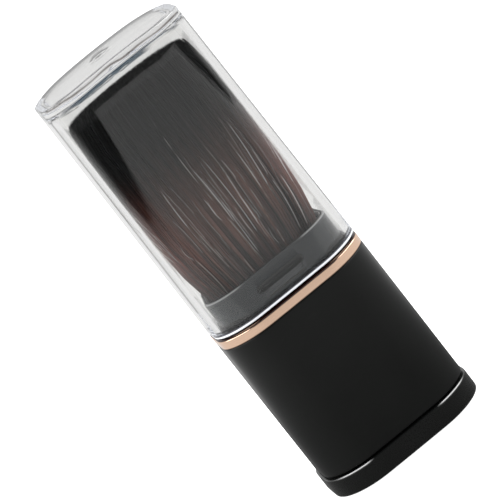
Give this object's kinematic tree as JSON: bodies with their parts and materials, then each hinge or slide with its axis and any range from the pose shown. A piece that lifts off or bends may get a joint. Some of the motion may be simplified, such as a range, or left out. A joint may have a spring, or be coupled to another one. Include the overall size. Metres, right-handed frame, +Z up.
{
  "type": "retractable makeup brush",
  "caption": "Pocket makeup brush in a rounded rectangular sleeve that slides up over a flared tuft, with a clear lift-off cap on a snap collar.",
  "frame": {"origin": "centre of the base cap's bottom face, on the surface it stands on", "axes": "+Z up along the brush, broad front face towards -Y, +X to the right seen from the front"},
  "size_m": [0.0388, 0.0318, 0.1073],
  "materials": {
    "soft_touch_black": "soft-touch coated ABS, matte",
    "moulded_black": "satin moulded ABS",
    "rose_gold_plate": "electroplated rose gold on ABS",
    "collar_dark_grey": "satin moulded ABS",
    "clear_acrylic": "polished clear acrylic",
    "slider_black": "moulded acetal",
    "bush_grey": "moulded acetal",
    "holder_black": "moulded ABS",
    "synthetic_hair": "fine nylon hair, black tips over a dark brown lower part"
  },
  "bodies": {
    "brush_core": {"base_cap": "moulded_black", "slider_tube": "slider_black", "tuft_holder": "holder_black", "tuft_left": "synthetic_hair", "tuft_center": "synthetic_hair", "tuft_right": "synthetic_hair"},
    "sleeve": {"sleeve_shell": "soft_touch_black", "trim_ring": "rose_gold_plate", "neck_collar": "collar_dark_grey", "guide_bush": "bush_grey"},
    "cap": {"clear_cap": "clear_acrylic"}
  },
  "joints": [
    {"name": "sleeve_slide", "type": "slide", "parent": "brush_core", "child": "sleeve", "axis": [0, 0, 1], "range_m": [0, 0.025], "deforming": ["tuft_left", "tuft_right"]},
    {"name": "cap_lift", "type": "slide", "parent": "sleeve", "child": "cap", "axis": [0, 0, 1], "range_m": [0, 0.062]}
  ]
}
